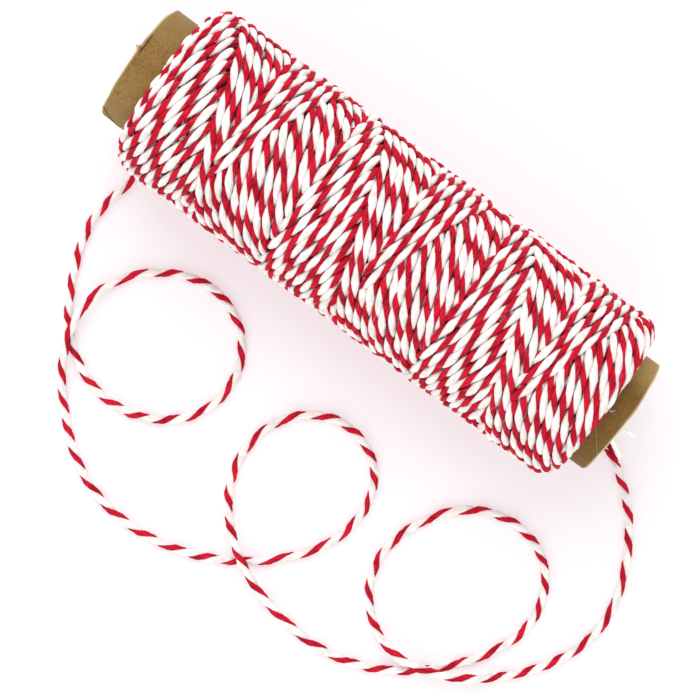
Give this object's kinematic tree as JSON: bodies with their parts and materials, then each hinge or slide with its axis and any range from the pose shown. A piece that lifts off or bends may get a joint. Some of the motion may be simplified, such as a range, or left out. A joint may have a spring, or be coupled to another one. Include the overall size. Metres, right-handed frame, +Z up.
{
  "type": "spool of cotton twine",
  "caption": "Red and white two-ply cotton twine, cross-wound on an open card tube, with its loose end lying in curls on the floor beside it.",
  "frame": {"origin": "on the floor under the middle of the card tube, at the base of the spool without its loose end", "axes": "+X along the spool towards its shorter bare tube end, +Z up, the loose end lies on the -Y side"},
  "size_m": [0.1558, 0.1054, 0.0412],
  "materials": {
    "card": "matte uncoated kraft card, faintly fibrous",
    "twine": "matte cotton, one white and one red ply twisted together"
  },
  "bodies": {
    "root": {"core_tube": "card", "wound_twine": "twine", "loose_end": "twine"}
  },
  "joints": []
}
